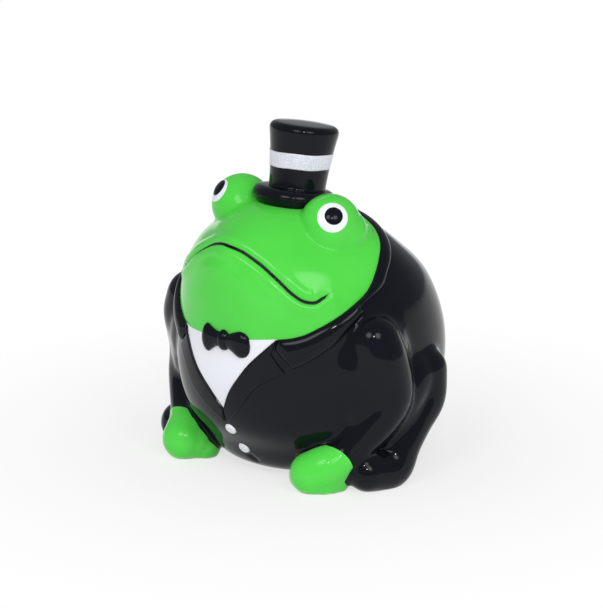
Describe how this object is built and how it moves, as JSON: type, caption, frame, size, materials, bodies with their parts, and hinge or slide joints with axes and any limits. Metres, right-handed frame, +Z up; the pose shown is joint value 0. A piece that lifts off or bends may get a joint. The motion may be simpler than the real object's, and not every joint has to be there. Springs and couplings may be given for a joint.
{
  "type": "ceramic frog figurine",
  "caption": "Squat glazed ceramic frog in evening dress with bow tie and top hat, a hollow free-standing shelf ornament with a drain hole in its base.",
  "frame": {"origin": "on the ground, under the middle of the footprint box", "axes": "+Z up through the hat, -Y the way the frog faces, +X the frog's left"},
  "size_m": [0.1298, 0.1164, 0.1489],
  "materials": {
    "green_glaze": "high gloss",
    "black_glaze": "high gloss",
    "white_glaze": "gloss",
    "silver_lustre": "fine metallic paint over glaze"
  },
  "bodies": {
    "root": {"bow_tie_knot": "black_glaze", "bow_tie_left_wing": "black_glaze", "bow_tie_right_wing": "black_glaze", "coat_back": "black_glaze", "coat_base": "black_glaze", "coat_front": "black_glaze", "collar": "black_glaze", "hat_band": "silver_lustre", "hat_brim": "black_glaze", "hat_crown": "black_glaze", "head": "green_glaze", "left_eye_white": "white_glaze", "left_hand": "green_glaze", "left_lapel": "black_glaze", "left_leg": "black_glaze", "left_pupil": "black_glaze", "left_shoe": "black_glaze", "left_sleeve": "black_glaze", "lower_button": "white_glaze", "right_eye_white": "white_glaze", "right_hand": "green_glaze", "right_lapel": "black_glaze", "right_leg": "black_glaze", "right_pupil": "black_glaze", "right_shoe": "black_glaze", "right_sleeve": "black_glaze", "shirt_front": "white_glaze", "upper_button": "white_glaze"}
  },
  "joints": []
}
